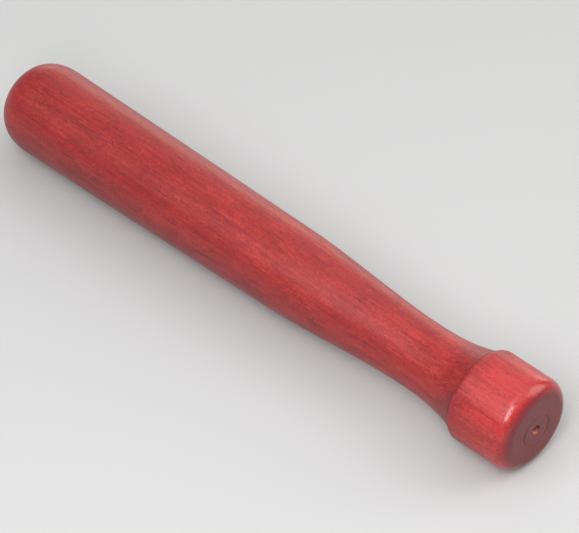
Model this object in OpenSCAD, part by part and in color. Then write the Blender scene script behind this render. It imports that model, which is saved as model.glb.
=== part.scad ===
// Clave: one solid stick turned from a single hardwood blank, with a domed head,
// a long gently tapered body, a waist to hold and a knob at the butt.
// The stick lies level along X with the butt towards +X. Its lowest line is on z = 0,
// and the origin is on that plane under the middle of its length. Millimetres.

/* [Stick] */
// Overall length, from the tip of the dome to the butt face
stick_length = 201; // [165:1:260]
// Largest diameter of the body, where the dome begins
body_d = 28; // [22:0.5:36]
// Length of the dome along the stick
dome_length = 13; // [8:0.5:20]
// Bluntness of the dome: 2 is a plain ellipse and more is squarer
dome_power = 2.6; // [2:0.1:3.4]

/* [Waist] */
// Diameter that the body loses along its straight taper
taper_drop = 2.8; // [0:0.1:6]
// Distance of the taper's end from the butt face
taper_end = 92; // [70:1:115]
// Smallest diameter, at the waist
waist_d = 19.7; // [14:0.1:24]
// Distance of the waist from the butt face
waist_at = 41.6; // [32:0.2:55]
// Rise over run of the neck where it meets the butt's crease
flare_slope = 0.38; // [0.2:0.01:0.6]

/* [Butt] */
// Diameter of the butt
butt_d = 28; // [24:0.5:36]
// Length of the butt, from its face to the crease behind it
butt_length = 20.2; // [14:0.1:26]
// Length of the round shoulder between the crease and the barrel
shoulder_length = 1.6; // [1:0.1:4]
// Depth of the crease below the barrel
crease_depth = 1.1; // [0.4:0.1:2.5]
// Radius of the round edge between the barrel and the face
edge_r = 4.3; // [1.5:0.1:6]

/* [Lathe marks] */
// Diameter of the tail centre's dimple at the face
dimple_d = 3; // [1:0.1:5]
// Full angle of the dimple's cone
dimple_angle = 60; // [60:5:120]
// Diameter of the ring that the cup centre pressed into the face
ring_d = 9.8; // [7:0.1:13]
// Width of that ring's groove at the face
ring_width = 0.5; // [0.2:0.05:1]
// Depth of that ring's groove
ring_depth = 0.2; // [0.1:0.05:0.4]

/* [Hidden] */
$fn = 96;
// Points along each stretch of the outline
dome_steps = 20;
curve_steps = 16;
round_steps = 10;
// How far the lathe marks' cutters stand out of the face
cut_over = 0.5;
body_r = body_d / 2;
butt_r = butt_d / 2;
axis_height = max(body_r, butt_r);
dome_start = stick_length - dome_length;
shoulder_start = butt_length - shoulder_length;
crease_r = butt_r - crease_depth;
taper_slope = taper_drop / 2 / (dome_start - taper_end);

// The outline's points are [radius, distance from the butt face].

// Cubic from a to b, each [distance, radius, slope], without its first point
function blend(a, b) = [
    for (i = [1:curve_steps])
        let (t = i / curve_steps, run = b[0] - a[0])
        [
            a[1] * (1 - 3 * t ^ 2 + 2 * t ^ 3) + b[1] * (3 * t ^ 2 - 2 * t ^ 3)
                + run * a[2] * (t - 2 * t ^ 2 + t ^ 3) + run * b[2] * (t ^ 3 - t ^ 2),
            a[0] + run * t
        ]
];

// Round edge, from the rim of the flat face to the barrel
function front_edge() = [
    for (i = [0:round_steps])
        let (turn = 90 * i / round_steps)
        [butt_r - edge_r * (1 - sin(turn)), edge_r * (1 - cos(turn))]
];

// Quarter-ellipse shoulder, from the barrel down to the crease
function rear_shoulder() = [
    for (i = [0:round_steps])
        let (turn = 90 * i / round_steps)
        [
            crease_r + crease_depth * cos(turn),
            shoulder_start + shoulder_length * sin(turn)
        ]
];

// Superellipse dome, from the body to the tip on the axis
function dome() = [
    for (i = [0:dome_steps])
        let (turn = 90 * i / dome_steps, power = 2 / dome_power)
        [
            i == dome_steps ? 0 : body_r * cos(turn) ^ power,
            dome_start + dome_length * sin(turn) ^ power
        ]
];

crease = [butt_length, crease_r, -flare_slope];
waist = [waist_at, waist_d / 2, 0];
taper = [taper_end, body_r - taper_drop / 2, taper_slope];

outline = concat(
    [[0, 0]],
    front_edge(),
    rear_shoulder(),
    blend(crease, waist),
    blend(waist, taper),
    dome()
);

// Stands a shape turned about Z on the stick's axis, with its z = 0 at the butt face
module on_axis() {
    translate([stick_length / 2, 0, axis_height])
        rotate([0, -90, 0])
            children();
}

// Cone that the tail centre leaves in the butt face
module dimple_cutter() {
    mouth_slope = tan(dimple_angle / 2);
    translate([0, 0, -cut_over])
        cylinder(
            h = dimple_d / 2 / mouth_slope + cut_over,
            r1 = dimple_d / 2 + cut_over * mouth_slope,
            r2 = 0
        );
}

// V-shaped groove that the cup centre's rim leaves round the dimple
module ring_cutter() {
    side_slope = ring_width / 2 / ring_depth;
    rotate_extrude()
        polygon([
            [ring_d / 2 - ring_width / 2 - cut_over * side_slope, -cut_over],
            [ring_d / 2, ring_depth],
            [ring_d / 2 + ring_width / 2 + cut_over * side_slope, -cut_over]
        ]);
}

module clave_stick() {
    color("firebrick")
        on_axis()
            difference() {
                rotate_extrude()
                    polygon(outline);
                dimple_cutter();
                ring_cutter();
            }
}

clave_stick();
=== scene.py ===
"""One clave: a turned hardwood stick, stained red under a thin varnish, on a pale floor.

The stick lies along X with its butt towards +X. Lengths in the code are metres; the wood's
material works in millimetres, because that is the scale of grain.
"""

import math

import bpy
import numpy as np
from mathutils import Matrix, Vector, noise


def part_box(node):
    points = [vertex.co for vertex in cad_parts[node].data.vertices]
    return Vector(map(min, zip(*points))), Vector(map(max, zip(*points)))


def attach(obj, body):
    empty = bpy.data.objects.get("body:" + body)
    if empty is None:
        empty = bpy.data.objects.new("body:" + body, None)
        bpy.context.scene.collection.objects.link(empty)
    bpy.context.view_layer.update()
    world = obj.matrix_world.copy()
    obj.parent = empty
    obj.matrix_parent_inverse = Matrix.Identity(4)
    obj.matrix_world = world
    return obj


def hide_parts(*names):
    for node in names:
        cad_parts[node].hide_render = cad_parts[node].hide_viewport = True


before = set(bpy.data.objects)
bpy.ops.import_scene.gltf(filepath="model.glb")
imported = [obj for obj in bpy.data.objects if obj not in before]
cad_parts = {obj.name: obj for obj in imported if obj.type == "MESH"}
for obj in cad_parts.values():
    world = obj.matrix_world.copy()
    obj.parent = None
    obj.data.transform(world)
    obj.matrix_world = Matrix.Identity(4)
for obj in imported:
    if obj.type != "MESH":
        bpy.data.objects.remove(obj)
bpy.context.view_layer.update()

NODE = "clave_stick"
MM = 0.001
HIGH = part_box(NODE)[1]
FACE_X = HIGH.x
BUTT_R = HIGH.y
# The stick lies on z = 0, so its axis is at half its height
AXIS_Z = HIGH.z / 2


# ---------------------------------------------------------------- camera and lights

CAMERA_AZIMUTH = math.radians(43.9)
CAMERA_ELEVATION = math.radians(43.08)
CAMERA_DISTANCE = 0.9824
CAMERA_LENS_MM = 217.6
SENSOR_MM = 36
# The camera looks at this point of the stick's axis, this far from the butt face
AIM_FROM_FACE = 0.0918
# and this far off it, towards the upper right of the view
AIM_ASIDE = 0.41 * MM
CLIP_START = 0.01
CLIP_END = 20

WORLD_RADIANCE = 0.32
WHITE = (1.0, 1.0, 1.0)
WARM_WHITE = (1.0, 0.93, 0.80)
# Softboxes: name, the point of the axis that each one faces, its direction and distance from
# there, width, height, radiance and colour
BUTT_END = FACE_X - 5 * MM
MIDDLE = 0.0
SOFTBOXES = [
    ("key", BUTT_END, (0.29, -0.63, 0.72), 0.60, 0.22, 0.34, 9.5, WHITE),
    ("left", BUTT_END, (-0.22, -0.56, 0.76), 1.00, 0.65, 0.95, 1.7, WHITE),
    ("top", MIDDLE, (0.10, 0.05, 1.00), 1.20, 1.60, 1.20, 0.80, WHITE),
    ("back", MIDDLE, (-0.40, 0.66, 0.64), 1.20, 1.10, 0.90, 0.40, WHITE),
    ("low_back", MIDDLE, (-0.50, 0.85, 0.13), 1.20, 1.30, 0.28, 2.5, WARM_WHITE),
    ("right_back", MIDDLE, (0.50, 0.66, 0.56), 1.20, 0.80, 0.90, 2.6, WHITE),
]


def make_camera():
    back = Vector(
        (
            math.sin(CAMERA_AZIMUTH) * math.cos(CAMERA_ELEVATION),
            -math.cos(CAMERA_AZIMUTH) * math.cos(CAMERA_ELEVATION),
            math.sin(CAMERA_ELEVATION),
        )
    )
    upper_right = back.cross(Vector((1, 0, 0))).normalized()
    aim = Vector((FACE_X - AIM_FROM_FACE, 0, AXIS_Z)) + upper_right * AIM_ASIDE
    data = bpy.data.cameras.new("camera")
    data.lens = CAMERA_LENS_MM
    data.sensor_width = SENSOR_MM
    data.clip_start = CLIP_START
    data.clip_end = CLIP_END
    camera = bpy.data.objects.new("camera", data)
    camera.location = aim + back * CAMERA_DISTANCE
    camera.rotation_euler = back.to_track_quat("Z", "Y").to_euler()
    bpy.context.scene.collection.objects.link(camera)
    bpy.context.scene.camera = camera


def make_softbox(name, faces_x, direction, distance, width, height, radiance, colour):
    data = bpy.data.lights.new(name, "AREA")
    data.shape = "RECTANGLE"
    data.size = width
    data.size_y = height
    data.energy = radiance * math.pi * width * height
    data.color = colour
    light = bpy.data.objects.new(name, data)
    towards = Vector(direction).normalized()
    light.location = Vector((faces_x, 0, AXIS_Z)) + towards * distance
    light.rotation_euler = towards.to_track_quat("Z", "Y").to_euler()
    bpy.context.scene.collection.objects.link(light)


def make_world():
    world = bpy.data.worlds.new("studio")
    world.use_nodes = True
    background = world.node_tree.nodes["Background"]
    background.inputs["Color"].default_value = (*WHITE, 1)
    background.inputs["Strength"].default_value = WORLD_RADIANCE
    bpy.context.scene.world = world
    bpy.context.scene.view_settings.view_transform = "Standard"


# ---------------------------------------------------------------- material graphs


class Field:
    """A number or colour that varies over a surface. Arithmetic on it adds Math nodes."""

    def __init__(self, graph, socket):
        self.graph = graph
        self.socket = socket

    def __add__(self, other):
        return self.graph.math("ADD", self, other)

    def __sub__(self, other):
        return self.graph.math("SUBTRACT", self, other)

    def __rsub__(self, other):
        return self.graph.math("SUBTRACT", other, self)

    def __mul__(self, other):
        return self.graph.math("MULTIPLY", self, other)

    def __pow__(self, other):
        return self.graph.math("POWER", self, other)

    __radd__ = __add__
    __rmul__ = __mul__


class Graph:
    """The node tree of one new material, with short calls that each add a node."""

    def __init__(self, name):
        self.material = bpy.data.materials.new(name)
        self.material.use_nodes = True
        self.tree = self.material.node_tree
        self.tree.nodes.clear()

    def node(self, kind, inputs=(), **settings):
        made = self.tree.nodes.new("ShaderNode" + kind)
        for key, value in settings.items():
            setattr(made, key, value)
        for key, value in dict(inputs).items():
            if isinstance(value, Field):
                self.tree.links.new(value.socket, made.inputs[key])
            else:
                made.inputs[key].default_value = value
        return made

    def field(self, made, output):
        return Field(self, made.outputs[output])

    def math(self, operation, a, b=0.0):
        made = self.node("Math", {0: a, 1: b}, operation=operation)
        return self.field(made, "Value")

    def vector(self, x, y, z):
        return self.field(self.node("CombineXYZ", {"X": x, "Y": y, "Z": z}), "Vector")

    def noise(self, at, detail=2.0, roughness=0.5):
        """Soft cloudy noise about 0.5, with features about 1 unit across."""
        inputs = {"Vector": at, "Scale": 1.0, "Detail": detail, "Roughness": roughness}
        return self.field(self.node("TexNoise", inputs), "Fac")

    def cells(self, at):
        """Scattered points, about one in each unit: the distance to the nearest, and its own
        random number."""
        made = self.node("TexVoronoi", {"Vector": at, "Scale": 1.0})
        parts = self.node("SeparateColor", {"Color": self.field(made, "Color")})
        return self.field(made, "Distance"), self.field(parts, "Red")

    def step(self, value, start, end):
        """0 where value is at start, 1 where it is at end, and smooth between."""
        inputs = {"Value": value, "From Min": start, "From Max": end}
        made = self.node("MapRange", inputs, interpolation_type="SMOOTHSTEP")
        return self.field(made, "Result")

    def mix(self, share, a, b):
        """Colour a turned into colour b by share."""
        # A colour Mix node has its share, a and b in these sockets
        inputs = {0: share, 6: self.colour(a), 7: self.colour(b)}
        made = self.node("Mix", inputs, data_type="RGBA")
        return self.field(made, 2)

    def colour(self, value):
        return value if isinstance(value, Field) else (*value, 1)

    def finish(self, inputs, height=None):
        """Ends the tree in a Principled surface, with a bump of that height in millimetres."""
        shader = self.node("BsdfPrincipled", inputs)
        if height is not None:
            bump = self.node("Bump", {"Height": height, "Distance": MM})
            self.tree.links.new(bump.outputs["Normal"], shader.inputs["Normal"])
        output = self.node("OutputMaterial")
        self.tree.links.new(shader.outputs["BSDF"], output.inputs["Surface"])
        return self.material


# ---------------------------------------------------------------- stained wood

# Linear colours of the stain: on plain wood, where it took deeper (also the painted shade on
# the neck, in the crease and along the underside), where hard fibre took less, where it turned
# purple or orange, in open pores, on the butt's round edge, and on the end grain of the butt
# and the dome; and the painted highlight on one side of the centre dimple
STAIN = (0.310, 0.0180, 0.0195)
DEEP_STAIN_AND_SHADE = (0.175, 0.0095, 0.0110)
THIN_STAIN = (0.500, 0.0360, 0.0350)
PURPLE_STAIN = (0.220, 0.0120, 0.0310)
ORANGE_STAIN = (0.450, 0.0460, 0.0190)
PORE = (0.060, 0.0060, 0.0110)
EDGE_STAIN = (0.190, 0.0120, 0.0190)
BUTT_END_STAIN = (0.130, 0.0160, 0.0175)
DOME_END_STAIN = (0.190, 0.0100, 0.0230)
DIMPLE_PAINTED_HIGHLIGHT = (0.560, 0.1500, 0.0600)

# Where the butt's face and round edge, the crease behind the butt and the waist lie along X,
# how long the painted shade on the neck is, and the radius of the dimple's mouth, in
# millimetres
FACE_AT = FACE_X / MM
EDGE_AT = FACE_AT - 4.3
CREASE_AT = FACE_AT - 20.2
WAIST_AT = FACE_AT - 41.6
NECK_SHADE_LENGTH = 12
DIMPLE_RADIUS = 1.5

# Lengths over which the stain changes: before the waist, along the barrel, over the butt's
# shoulder, and the painted crease shade's reach before and after the crease
WAIST_BORDER = 18
BARREL_BORDER = 8
SHOULDER_BORDER = 0.8
CREASE_BEFORE = 1.2
CREASE_AFTER = 1.0
# Where the stain of the round edge, its polish and the stain of the face start and are full
# along X, and the radii where the dimple's stain does
EDGE_FROM = EDGE_AT + 2.3
EDGE_TO = FACE_AT - 0.3
POLISHED_FROM = EDGE_AT - 3
POLISHED_TO = EDGE_AT + 0.5
FACE_FROM = FACE_AT - 0.7
FACE_TO = FACE_AT - 0.05
DIMPLE_FROM = DIMPLE_RADIUS + 0.2
DIMPLE_TO = DIMPLE_RADIUS - 0.1
# Where along X the thinner middle starts and is full, at which height over the axis the
# painted shade along the underside starts and is full, and at which X of the surface's normal
# the dome's end grain does
MIDDLE_FROM = -50
MIDDLE_TO = 0
UNDERSIDE_SHADE_FROM = 10
UNDERSIDE_SHADE_TO = -5
DOME_END_FROM = -0.45
DOME_END_TO = -1.0

# The grain wanders off the stick's axis in waves of this length and width, by up to half of
# WANDER to either side, in millimetres. WAVE_SHIFT sets its two directions apart.
WAVE_LENGTH = 60
WAVE_WIDTH = 18
WANDER = 4
WAVE_SHIFT = 7.3

# The growth layers on the butt face: how thick and how long they are in millimetres, and
# their place and detail in the noise
LAYER_WIDTH = 0.45
LAYER_LENGTH = 4.5
LAYER_SHIFT = 4.4
LAYER_DETAIL = 3.0

# How much thinner or deeper the stain took on each part; on the neck and the underside the
# deeper stain is painted shade
MIDDLE_THINNER = 0.18
WAIST_THINNER = 0.10
NECK_PAINTED_SHADE = 0.80
BUTT_THINNER = 0.85
BARREL_THINNER = 0.70
UNDERSIDE_PAINTED_SHADE = 0.70
# Share of the underside's painted shade that the butt is spared
BUTT_UNDERSIDE_SHADE_LESS = 0.4
# Thinness at which the stain's colour is all thin, and below zero all deep
THIN_RANGE = 1.2

# Shares of each colour where its mark is strongest
# The crease's share is painted shade
CREASE_SHADE_SHARE = 0.45
HUE_SHARE = 0.75
PORE_SHARE = 0.45
LINE_SHARE = 0.20
GROUPED_LINE_SHARE = 0.30
SPOT_SHARE = 0.55
DOME_END_SHARE = 0.7
EDGE_SHARE = 0.75
FACE_SHARE = 0.9

# Heights of the varnished surface, in millimetres, for each unit of its pattern
FIBRE_HEIGHT = 0.020
SPECK_HEIGHT = 0.014
PORE_DEPTH = 0.04
LAYER_HEIGHT = 0.05

# Roughness of the satin varnish, and what changes it
SATIN = 0.38
FIBRE_ROUGHER = 0.05
PORE_ROUGHER = 0.1
CREASE_ROUGHER = 0.25
POLISHED_SMOOTHER = 0.20
VARNISH_IOR = 1.5


class Wood:
    """Places in the blank, in millimetres, that follow its grain."""

    def __init__(self, graph):
        self.graph = graph
        place = graph.node("TexCoord")
        parts = graph.node("SeparateXYZ", {"Vector": graph.field(place, "Object")})
        self.x = graph.field(parts, "X") * (1 / MM)
        self.y = graph.field(parts, "Y") * (1 / MM)
        self.z = (graph.field(parts, "Z") - AXIS_Z) * (1 / MM)
        self.radius = graph.math("SQRT", self.y**2 + self.z**2)
        surface = graph.node("NewGeometry")
        facing = graph.node("SeparateXYZ", {"Vector": graph.field(surface, "Normal")})
        self.facing_x = graph.field(facing, "X")
        self.grain_y = self.y + self.wander(0.0)
        self.grain_z = self.z + self.wander(WAVE_SHIFT)

    def wander(self, shift):
        """How far the grain is off the stick's axis in one direction."""
        at = self.graph.vector(
            self.x * (1 / WAVE_LENGTH) + shift,
            self.y * (1 / WAVE_WIDTH),
            self.z * (1 / WAVE_WIDTH),
        )
        return (self.graph.noise(at) - 0.5) * WANDER

    def along(self, length, width, shift):
        """Coordinates for a pattern with features of that length along the grain and that
        width across it. Each pattern has its own shift, so that no two are alike."""
        return self.graph.vector(
            self.x * (1 / length) + shift,
            self.grain_y * (1 / width),
            self.grain_z * (1 / width) + shift,
        )

    def uneven(self, length, width, shift, height, **settings):
        """Noise of that feature size, from about -height / 2 to height / 2."""
        return (self.graph.noise(self.along(length, width, shift), **settings) - 0.5) * height


class Zones:
    """The stick's parts, each 1 on the part and 0 off it, with soft borders."""

    def __init__(self, graph, wood):
        x = wood.x
        self.middle = graph.step(x, MIDDLE_FROM, MIDDLE_TO)
        # Painted shade on the neck, darker towards the crease where its flare turns from the
        # light
        self.neck_shade = graph.step(x, CREASE_AT - NECK_SHADE_LENGTH, CREASE_AT)
        self.waist = graph.step(x, WAIST_AT - WAIST_BORDER, WAIST_AT) * (1 - self.neck_shade)
        # Painted shade in the crease behind the butt
        self.crease_shade = graph.step(x, CREASE_AT - CREASE_BEFORE, CREASE_AT)
        self.crease_shade = self.crease_shade * graph.step(x, CREASE_AT + CREASE_AFTER, CREASE_AT)
        self.butt = graph.step(x, CREASE_AT, CREASE_AT + SHOULDER_BORDER)
        self.barrel = graph.step(x, CREASE_AT, CREASE_AT + BARREL_BORDER)
        # Painted shade along the underside, darker towards the bottom
        self.underside_shade = graph.step(wood.z, UNDERSIDE_SHADE_FROM, UNDERSIDE_SHADE_TO)
        self.underside_shade = self.underside_shade * (1 - self.butt * BUTT_UNDERSIDE_SHADE_LESS)
        self.dome_end = graph.step(wood.facing_x, DOME_END_FROM, DOME_END_TO)
        self.edge = graph.step(x, EDGE_FROM, EDGE_TO)
        self.face = graph.step(x, FACE_FROM, FACE_TO)
        self.dimple = graph.step(wood.radius, DIMPLE_FROM, DIMPLE_TO) * self.butt
        # Handling has polished the butt's round edge
        self.polished = graph.step(x, POLISHED_FROM, POLISHED_TO) - self.face


def stain_depth_colour(graph, wood, zones, streaks):
    """Colour of the stain by how thinly it took: streaks, mottling and whole parts, and
    painted shade on the neck, along the underside and in the crease.
    """
    thin = streaks + wood.uneven(length=10, width=4, shift=21.9, height=1.5)
    thin = thin + wood.uneven(length=50, width=10, shift=2.6, height=0.8)
    thin = thin + zones.middle * MIDDLE_THINNER + zones.waist * WAIST_THINNER
    thin = thin + zones.butt * BUTT_THINNER + zones.barrel * BARREL_THINNER
    # Painted shade darkens the neck and the underside
    thin = thin - zones.neck_shade * NECK_PAINTED_SHADE - zones.underside_shade * UNDERSIDE_PAINTED_SHADE
    colour = graph.mix(graph.step(thin, 0.0, THIN_RANGE), STAIN, THIN_STAIN)
    colour = graph.mix(graph.step(thin, 0.0, -THIN_RANGE), colour, DEEP_STAIN_AND_SHADE)
    # Painted shade in the crease behind the butt
    return graph.mix(zones.crease_shade * CREASE_SHADE_SHARE, colour, DEEP_STAIN_AND_SHADE)


def with_hue_drift(graph, wood, colour):
    """The colour with orange and purple patches, fine and broad."""
    hue = wood.uneven(length=0.9, width=0.7, shift=33.3, height=2.4)
    hue = hue + wood.uneven(length=4.0, width=1.2, shift=36.1, height=1.4)
    hue = hue + wood.uneven(length=12, width=5, shift=40.4, height=0.8)
    colour = graph.mix(graph.step(hue, 0.0, 1.0) * HUE_SHARE, colour, ORANGE_STAIN)
    return graph.mix(graph.step(hue, 0.0, -1.0) * HUE_SHARE, colour, PURPLE_STAIN)


def with_dark_marks(graph, wood, colour):
    """The colour with open pores, fine dark lines and spots of gathered stain, and where the
    pores are."""
    # Pores and lines run along the grain, in loose groups
    grouping = graph.noise(wood.along(length=25, width=2.2, shift=5.7))
    groups = graph.step(grouping, 0.42, 0.58)
    reach, chance = graph.cells(wood.along(length=4.0, width=0.40, shift=1.9))
    pores = graph.step(reach, 0.42, 0.16) * graph.step(chance, 0.45, 0.55) * groups
    colour = graph.mix(pores * PORE_SHARE, colour, PORE)
    reach, chance = graph.cells(wood.along(length=18, width=0.42, shift=28.3))
    lines = graph.step(reach, 0.45, 0.15) * graph.step(chance, 0.30, 0.45)
    colour = graph.mix(lines * (groups * GROUPED_LINE_SHARE + LINE_SHARE), colour, PORE)
    reach, chance = graph.cells(wood.along(length=1.4, width=1.2, shift=11.0))
    spots = graph.step(reach, 0.26, 0.12) * graph.step(chance, 0.80, 0.84)
    return graph.mix(spots * SPOT_SHARE, colour, PORE), pores


def with_end_grain(graph, wood, zones, colour, specks, layers):
    """The colour with the deeper stain that end grain drank, and a painted highlight on one
    side of the dimple."""
    colour = graph.mix(zones.dome_end * DOME_END_SHARE, colour, DOME_END_STAIN)
    colour = graph.mix(zones.edge * EDGE_SHARE, colour, EDGE_STAIN)
    face_tone = graph.mix(graph.step(layers, 0.35, 0.70), BUTT_END_STAIN, EDGE_STAIN)
    colour = graph.mix(zones.face * FACE_SHARE, colour, face_tone)
    colour = graph.mix(zones.dimple, colour, EDGE_STAIN)
    # Painted highlight on one side of the dimple's wall, where it faces the light
    dimple_pattern = graph.step(wood.z + wood.y, 0.2, -0.7) * graph.step(specks, -0.3, 0.2)
    return graph.mix(dimple_pattern * zones.dimple, colour, DIMPLE_PAINTED_HIGHLIGHT)


def stained_hardwood():
    graph = Graph("stained_hardwood")
    wood = Wood(graph)
    zones = Zones(graph, wood)
    specks = wood.uneven(length=0.7, width=0.55, shift=15.2, height=1.9)
    fibres = wood.uneven(length=7.0, width=0.5, shift=3.1, height=1.2)
    fibres = fibres + wood.uneven(length=30, width=0.6, shift=8.7, height=2.1, roughness=0.6)
    # On the face the growth layers stand nearly upright
    across = wood.grain_y * (1 / LAYER_WIDTH)
    upright = wood.z * (1 / LAYER_LENGTH)
    layers = graph.noise(graph.vector(across, upright, LAYER_SHIFT), LAYER_DETAIL)

    colour = stain_depth_colour(graph, wood, zones, specks + fibres)
    colour = with_hue_drift(graph, wood, colour)
    colour, pores = with_dark_marks(graph, wood, colour)
    colour = with_end_grain(graph, wood, zones, colour, specks, layers)

    height = fibres * FIBRE_HEIGHT + specks * SPECK_HEIGHT
    height = height - pores * PORE_DEPTH + layers * zones.face * LAYER_HEIGHT
    roughness = fibres * FIBRE_ROUGHER + pores * PORE_ROUGHER + SATIN
    roughness = roughness + zones.crease_shade * CREASE_ROUGHER
    roughness = roughness - zones.polished * POLISHED_SMOOTHER
    inputs = {"Base Color": colour, "Roughness": roughness, "IOR": VARNISH_IOR}
    return graph.finish(inputs, height)


# ---------------------------------------------------------------- the turned stick

# Quads round the stick
TURNS = 240
# Longest quad along the outline, and fewest quads in one stretch of the CAD outline
RING_STEP = 1.0 * MM
MIN_STEPS = 3
# Decimals of a metre that the CAD outline's points are rounded to, and the distance within
# which two of them are one point
OUTLINE_DECIMALS = 5
SAME_POINT = 0.05 * MM
# The lathe marks on the butt face are all within MARKS_RADIUS of the axis, and the ring is
# outside RING_INSIDE
MARKS_RADIUS = BUTT_R / 2
RING_INSIDE = BUTT_R / 4
# A stretch this many times longer than its neighbour is a straight run
STRAIGHT_RATIO = 3
# The outline has a sharp corner where it turns more than this
CORNER = math.radians(50)
# Height and width of the slow unevenness that sanding leaves
SANDING_HEIGHT = 0.05 * MM
SANDING_WIDTH = 20 * MM
# The cup centre pressed its ring in deepest on two sides, this far round from the bottom,
# and this share as deep between them
RING_DEEPEST = math.radians(97)
RING_SHALLOW = 0.3
# The dimple's torn mouth reaches this far from the axis
TORN_RADIUS = 2.2 * MM
TORN_HEIGHT = 0.25 * MM
TORN_WIDTH = 0.9 * MM
# Stretch of the butt face's outline in the texture, beside the stick's side, and the face's
# radius as a share of the stick's
FACE_TEXTURE_STRETCH = 3
FACE_RADIUS_SHARE = 0.7


def cad_outline():
    """Points (x, radius) of the CAD stick's outline, from the tip of the dome to the bottom
    of the dimple in the butt face."""
    points = np.array([vertex.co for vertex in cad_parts[NODE].data.vertices])
    outline = np.stack([points[:, 0], np.hypot(points[:, 1], points[:, 2] - AXIS_Z)], 1)
    outline = np.unique(outline.round(OUTLINE_DECIMALS), axis=0)
    in_face = (outline[:, 0] > 0) & (outline[:, 1] < MARKS_RADIUS)
    side = outline[~in_face]
    face = outline[in_face]
    outline = np.concatenate([side[np.argsort(side[:, 0])], face[np.argsort(-face[:, 1])]])
    apart = np.hypot(*np.diff(outline, axis=0).T) > SAME_POINT
    return outline[np.append(True, apart)]


def way_at_joint(ways, lengths, own, other):
    """Direction of the smooth outline at one end of stretch own, where it meets other."""
    if not 0 <= other < len(ways) or ways[own] @ ways[other] < math.cos(CORNER):
        return ways[own]
    if lengths[own] > STRAIGHT_RATIO * lengths[other]:
        return ways[own]
    if lengths[other] > STRAIGHT_RATIO * lengths[own]:
        return ways[other]
    way = ways[own] * lengths[other] + ways[other] * lengths[own]
    return way / np.hypot(*way)


def smooth_outline(points):
    """Closely spaced (x, radius, normal x, normal radius) on a curve through the points, and
    the numbers of its corners. Straight runs stay straight and corners stay sharp."""
    chords = np.diff(points, axis=0)
    lengths = np.hypot(*chords.T)
    ways = chords / lengths[:, None]
    rings = []
    corners = []
    for i, length in enumerate(lengths):
        if i and ways[i] @ ways[i - 1] < math.cos(CORNER):
            corners.append(len(rings))
        start = way_at_joint(ways, lengths, i, i - 1) * length
        end = way_at_joint(ways, lengths, i, i + 1) * length
        steps = max(MIN_STEPS, math.ceil(length / RING_STEP))
        for t in np.arange(steps) / steps:
            place = points[i] + chords[i] * (3 * t**2 - 2 * t**3)
            place = place + start * (t - 2 * t**2 + t**3) + end * (t**3 - t**2)
            way = chords[i] * (6 * t - 6 * t**2)
            way = way + start * (1 - 4 * t + 3 * t**2) + end * (3 * t**2 - 2 * t)
            way = way / np.hypot(*way)
            rings.append((*place, -way[1], way[0]))
    return np.array(rings[1:]), [ring - 1 for ring in corners]


def handwork(x, radius, angle):
    """How far the surface stands off the true outline at one point."""
    y = radius * math.sin(angle)
    z = -radius * math.cos(angle)
    low = noise.noise(Vector((x, y, z)) / SANDING_WIDTH)
    height = SANDING_HEIGHT * (low - 1) / 2
    if x > 0 and radius < TORN_RADIUS:
        dimple_pattern = noise.noise(Vector((x, y, z)) / TORN_WIDTH)
        height += TORN_HEIGHT * (dimple_pattern - 1) / 2 * math.sin(math.pi * radius / TORN_RADIUS)
    return height


def ring_depth_share(angle):
    """Share of the cup ring's full depth at one place round the face."""
    return RING_SHALLOW + (1 - RING_SHALLOW) * math.cos(angle - RING_DEEPEST) ** 2


def stick_vertices(rings, tip, bottom):
    vertices = [tip]
    for x, radius, normal_x, normal_r in rings:
        in_ring = 0 < x < FACE_X and RING_INSIDE < radius < MARKS_RADIUS
        for turn in range(TURNS):
            angle = 2 * math.pi * turn / TURNS
            height = handwork(x, radius, angle)
            along = x + height * normal_x
            if in_ring:
                along = FACE_X - (FACE_X - along) * ring_depth_share(angle)
            out = radius + height * normal_r
            vertices.append((along, out * math.sin(angle), AXIS_Z - out * math.cos(angle)))
    vertices.append(bottom)
    return vertices


def stick_faces(ring_count):
    """Quads from ring to ring and a fan at each end, each with its corners' (ring, turn)."""
    last = ring_count * TURNS + 1

    def number(ring, turn):
        if ring < 0:
            return 0
        if ring >= ring_count:
            return last
        return 1 + ring * TURNS + turn % TURNS

    faces = []
    places = []
    for ring in range(-1, ring_count):
        for turn in range(TURNS):
            corners = [(ring, turn), (ring + 1, turn), (ring + 1, turn + 1), (ring, turn + 1)]
            if ring < 0:
                corners = corners[:3]
            elif ring == ring_count - 1:
                corners = [corners[0], corners[1], corners[3]]
            faces.append([number(*corner) for corner in corners])
            places.append(corners)
    return faces, places


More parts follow.
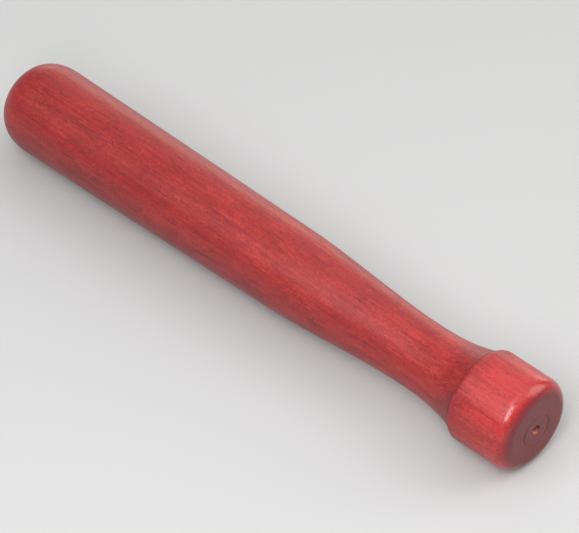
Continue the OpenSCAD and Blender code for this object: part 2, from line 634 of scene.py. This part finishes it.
def make_stick():
    points = cad_outline()
    rings, corners = smooth_outline(points)
    tip = (points[0, 0], 0, AXIS_Z)
    bottom = (points[-1, 0], 0, AXIS_Z)
    vertices = stick_vertices(rings, tip, bottom)
    faces, places = stick_faces(len(rings))
    mesh = bpy.data.meshes.new("clave_stick_turned")
    mesh.from_pydata(vertices, [], faces)
    mesh.shade_smooth()

    line = np.concatenate([points[:1], rings[:, :2], points[-1:]])
    step = np.hypot(*np.diff(line, axis=0).T)
    on_face = (line[1:, 0] > 0) & (line[1:, 1] < points[:, 1].max() * FACE_RADIUS_SHARE)
    step[on_face] *= FACE_TEXTURE_STRETCH
    along = np.append(0, np.cumsum(step)) / step.sum()
    uv = [(along[ring + 1], turn / TURNS) for place in places for ring, turn in place]
    layer = mesh.uv_layers.new(name="OFBake")
    layer.data.foreach_set("uv", np.array(uv).ravel())

    edges = np.array([edge.vertices[:] for edge in mesh.edges])
    ring_of = (edges - 1) // TURNS
    sharp = (ring_of[:, 0] == ring_of[:, 1]) & np.isin(ring_of[:, 0], corners)
    mesh.attributes.new("sharp_edge", "BOOLEAN", "EDGE").data.foreach_set("value", sharp)

    mesh.materials.append(stained_hardwood())
    stick = bpy.data.objects.new("clave_stick_turned", mesh)
    bpy.context.scene.collection.objects.link(stick)
    return stick


# ---------------------------------------------------------------- floor

FLOOR_SIZE = 12
FLOOR_COLOUR = (0.53, 0.53, 0.53, 1)
FLOOR_ROUGHNESS = 0.9


def pale_floor_material():
    graph = Graph("pale_floor")
    return graph.finish({"Base Color": FLOOR_COLOUR, "Roughness": FLOOR_ROUGHNESS})


def make_floor():
    mesh = bpy.data.meshes.new("pale_floor")
    half = FLOOR_SIZE / 2
    corners = [(-half, -half, 0), (half, -half, 0), (half, half, 0), (-half, half, 0)]
    mesh.from_pydata(corners, [], [(0, 1, 2, 3)])
    mesh.materials.append(pale_floor_material())
    floor = bpy.data.objects.new("pale_floor", mesh)
    bpy.context.scene.collection.objects.link(floor)
    return floor


make_camera()
make_world()
for softbox in SOFTBOXES:
    make_softbox(*softbox)
make_floor()
stick = make_stick()
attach(stick, "root")
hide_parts(NODE)
